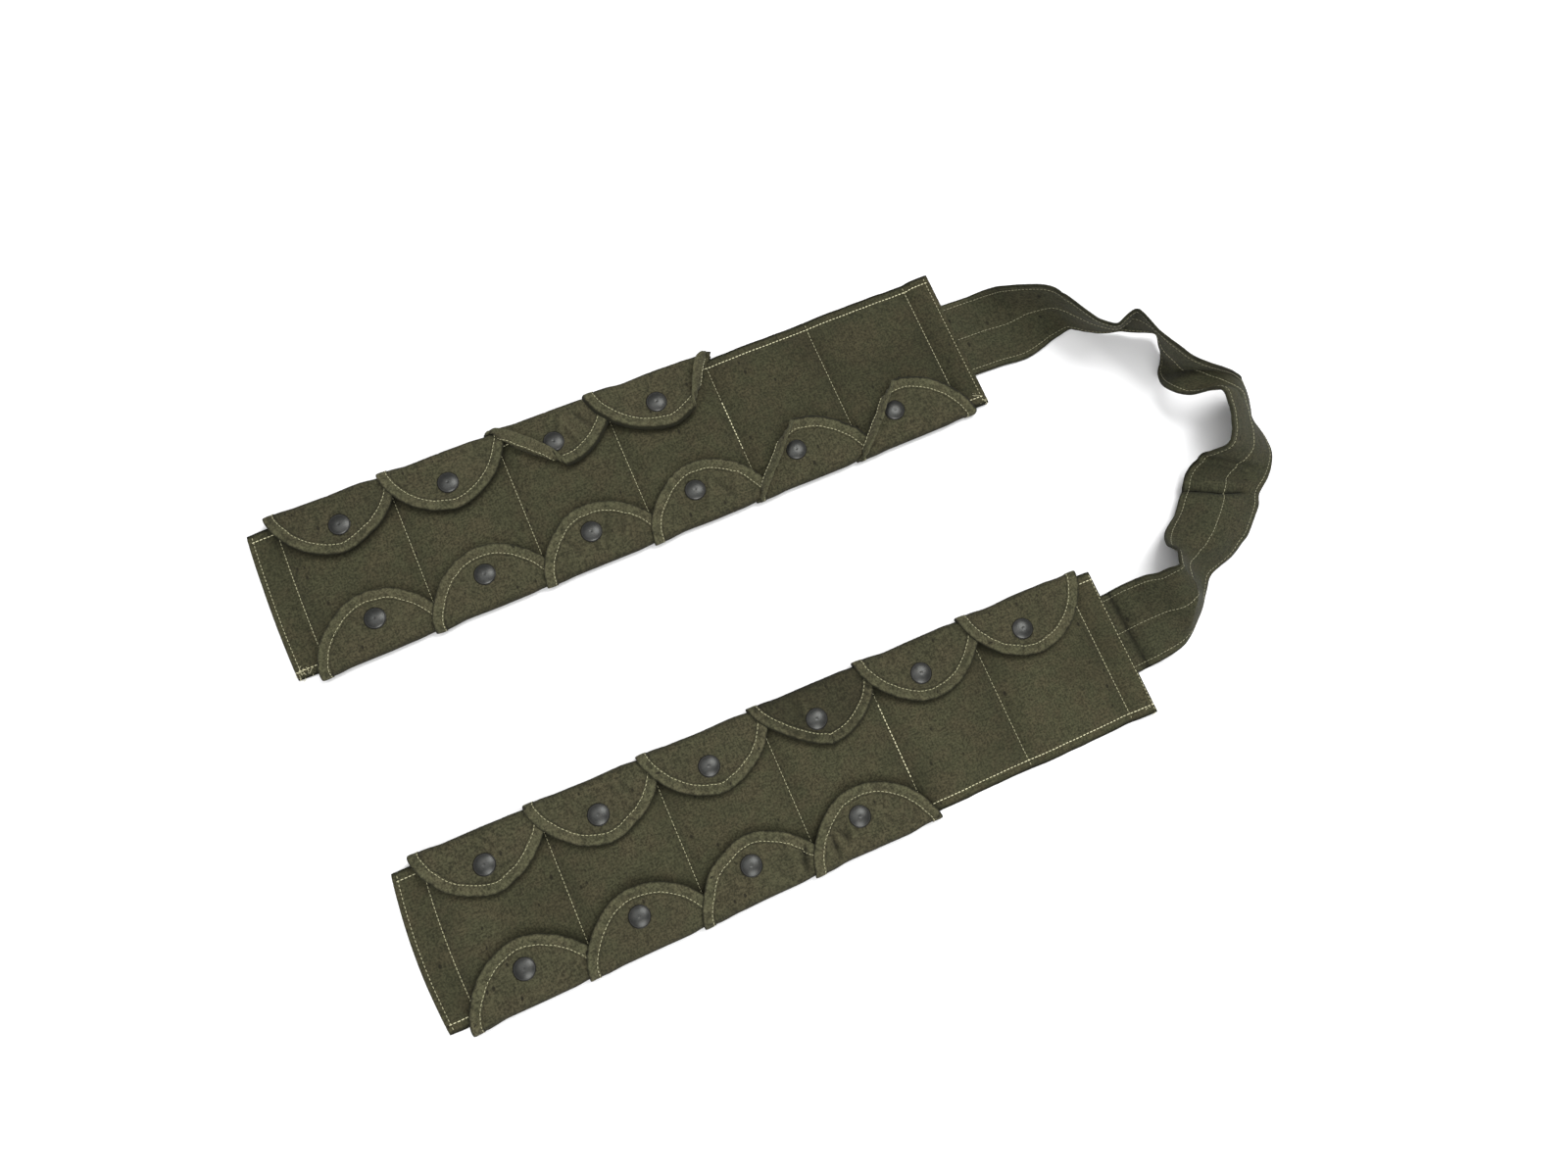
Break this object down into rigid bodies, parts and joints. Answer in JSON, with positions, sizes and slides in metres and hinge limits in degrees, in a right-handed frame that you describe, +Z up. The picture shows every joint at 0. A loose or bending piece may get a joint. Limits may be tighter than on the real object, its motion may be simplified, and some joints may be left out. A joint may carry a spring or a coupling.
{
  "type": "neck-worn pocket belt",
  "caption": "Two long cloth panels of flapped, snap-closed pockets, joined by a wide neck strap.",
  "frame": {"origin": "centre of the object's footprint, on the surface that it lies on", "axes": "+X along the panels towards the neck strap, +Y from panel b towards panel a, +Z up out of the surface"},
  "size_m": [0.7032, 0.373, 0.062],
  "materials": {
    "canvas": "matt olive-drab cotton canvas",
    "flap_canvas": "matt olive-drab cotton canvas, bound edge",
    "strap_canvas": "matt olive-drab cotton canvas, doubled",
    "snap_metal": "satin dark grey lacquer over metal"
  },
  "bodies": {
    "belt": {"back_sheet_a": "canvas", "back_sheet_b": "canvas", "front_sheet_a": "canvas", "front_sheet_b": "canvas", "neck_strap": "strap_canvas"},
    "lid_a_outer_1": {"flap_a_outer_1": "flap_canvas", "snap_cap_a_outer_1": "snap_metal"},
    "lid_a_outer_2": {"flap_a_outer_2": "flap_canvas", "snap_cap_a_outer_2": "snap_metal"},
    "lid_a_outer_3": {"flap_a_outer_3": "flap_canvas", "snap_cap_a_outer_3": "snap_metal"},
    "lid_a_outer_4": {"flap_a_outer_4": "flap_canvas", "snap_cap_a_outer_4": "snap_metal"},
    "lid_a_inner_1": {"flap_a_inner_1": "flap_canvas", "snap_cap_a_inner_1": "snap_metal"},
    "lid_a_inner_2": {"flap_a_inner_2": "flap_canvas", "snap_cap_a_inner_2": "snap_metal"},
    "lid_a_inner_3": {"flap_a_inner_3": "flap_canvas", "snap_cap_a_inner_3": "snap_metal"},
    "lid_a_inner_4": {"flap_a_inner_4": "flap_canvas", "snap_cap_a_inner_4": "snap_metal"},
    "lid_a_inner_5": {"flap_a_inner_5": "flap_canvas", "snap_cap_a_inner_5": "snap_metal"},
    "lid_a_inner_6": {"flap_a_inner_6": "flap_canvas", "snap_cap_a_inner_6": "snap_metal"},
    "lid_b_outer_1": {"flap_b_outer_1": "flap_canvas", "snap_cap_b_outer_1": "snap_metal"},
    "lid_b_outer_2": {"flap_b_outer_2": "flap_canvas", "snap_cap_b_outer_2": "snap_metal"},
    "lid_b_outer_3": {"flap_b_outer_3": "flap_canvas", "snap_cap_b_outer_3": "snap_metal"},
    "lid_b_outer_4": {"flap_b_outer_4": "flap_canvas", "snap_cap_b_outer_4": "snap_metal"},
    "lid_b_inner_1": {"flap_b_inner_1": "flap_canvas", "snap_cap_b_inner_1": "snap_metal"},
    "lid_b_inner_2": {"flap_b_inner_2": "flap_canvas", "snap_cap_b_inner_2": "snap_metal"},
    "lid_b_inner_3": {"flap_b_inner_3": "flap_canvas", "snap_cap_b_inner_3": "snap_metal"},
    "lid_b_inner_4": {"flap_b_inner_4": "flap_canvas", "snap_cap_b_inner_4": "snap_metal"},
    "lid_b_inner_5": {"flap_b_inner_5": "flap_canvas", "snap_cap_b_inner_5": "snap_metal"},
    "lid_b_inner_6": {"flap_b_inner_6": "flap_canvas", "snap_cap_b_inner_6": "snap_metal"}
  },
  "joints": [
    {"name": "flap_a_outer_1_hinge", "type": "hinge", "parent": "belt", "child": "lid_a_outer_1", "pos_m": [-0.2915, 0.1865, 0.0049], "axis": [-1, 0, 0], "range_deg": [0, 160]},
    {"name": "flap_a_outer_2_hinge", "type": "hinge", "parent": "belt", "child": "lid_a_outer_2", "pos_m": [-0.2115, 0.1865, 0.0049], "axis": [-1, 0, 0], "range_deg": [0, 160]},
    {"name": "flap_a_outer_3_hinge", "type": "hinge", "parent": "belt", "child": "lid_a_outer_3", "pos_m": [-0.1315, 0.1865, 0.0049], "axis": [-1, 0, 0], "range_deg": [0, 160]},
    {"name": "flap_a_outer_4_hinge", "type": "hinge", "parent": "belt", "child": "lid_a_outer_4", "pos_m": [-0.0515, 0.1865, 0.0049], "axis": [-1, 0, 0], "range_deg": [0, 160]},
    {"name": "flap_a_inner_1_hinge", "type": "hinge", "parent": "belt", "child": "lid_a_inner_1", "pos_m": [-0.2915, 0.0655, 0.0049], "axis": [1, 0, 0], "range_deg": [0, 160]},
    {"name": "flap_a_inner_2_hinge", "type": "hinge", "parent": "belt", "child": "lid_a_inner_2", "pos_m": [-0.2115, 0.0655, 0.0049], "axis": [1, 0, 0], "range_deg": [0, 160]},
    {"name": "flap_a_inner_3_hinge", "type": "hinge", "parent": "belt", "child": "lid_a_inner_3", "pos_m": [-0.1315, 0.0655, 0.0049], "axis": [1, 0, 0], "range_deg": [0, 160]},
    {"name": "flap_a_inner_4_hinge", "type": "hinge", "parent": "belt", "child": "lid_a_inner_4", "pos_m": [-0.0515, 0.0655, 0.0049], "axis": [1, 0, 0], "range_deg": [0, 160]},
    {"name": "flap_a_inner_5_hinge", "type": "hinge", "parent": "belt", "child": "lid_a_inner_5", "pos_m": [0.0285, 0.0655, 0.0049], "axis": [1, 0, 0], "range_deg": [0, 160]},
    {"name": "flap_a_inner_6_hinge", "type": "hinge", "parent": "belt", "child": "lid_a_inner_6", "pos_m": [0.1085, 0.0655, 0.0049], "axis": [1, 0, 0], "range_deg": [0, 160]},
    {"name": "flap_b_outer_1_hinge", "type": "hinge", "parent": "belt", "child": "lid_b_outer_1", "pos_m": [-0.279, -0.1865, 0.0049], "axis": [1, 0, 0], "range_deg": [0, 160]},
    {"name": "flap_b_outer_2_hinge", "type": "hinge", "parent": "belt", "child": "lid_b_outer_2", "pos_m": [-0.199, -0.1865, 0.0049], "axis": [1, 0, 0], "range_deg": [0, 160]},
    {"name": "flap_b_outer_3_hinge", "type": "hinge", "parent": "belt", "child": "lid_b_outer_3", "pos_m": [-0.119, -0.1865, 0.0049], "axis": [1, 0, 0], "range_deg": [0, 160]},
    {"name": "flap_b_outer_4_hinge", "type": "hinge", "parent": "belt", "child": "lid_b_outer_4", "pos_m": [-0.039, -0.1865, 0.0049], "axis": [1, 0, 0], "range_deg": [0, 160]},
    {"name": "flap_b_inner_1_hinge", "type": "hinge", "parent": "belt", "child": "lid_b_inner_1", "pos_m": [-0.279, -0.0655, 0.0049], "axis": [-1, 0, 0], "range_deg": [0, 160]},
    {"name": "flap_b_inner_2_hinge", "type": "hinge", "parent": "belt", "child": "lid_b_inner_2", "pos_m": [-0.199, -0.0655, 0.0049], "axis": [-1, 0, 0], "range_deg": [0, 160]},
    {"name": "flap_b_inner_3_hinge", "type": "hinge", "parent": "belt", "child": "lid_b_inner_3", "pos_m": [-0.119, -0.0655, 0.0049], "axis": [-1, 0, 0], "range_deg": [0, 160]},
    {"name": "flap_b_inner_4_hinge", "type": "hinge", "parent": "belt", "child": "lid_b_inner_4", "pos_m": [-0.039, -0.0655, 0.0049], "axis": [-1, 0, 0], "range_deg": [0, 160]},
    {"name": "flap_b_inner_5_hinge", "type": "hinge", "parent": "belt", "child": "lid_b_inner_5", "pos_m": [0.041, -0.0655, 0.0049], "axis": [-1, 0, 0], "range_deg": [0, 160]},
    {"name": "flap_b_inner_6_hinge", "type": "hinge", "parent": "belt", "child": "lid_b_inner_6", "pos_m": [0.121, -0.0655, 0.0049], "axis": [-1, 0, 0], "range_deg": [0, 160]}
  ]
}
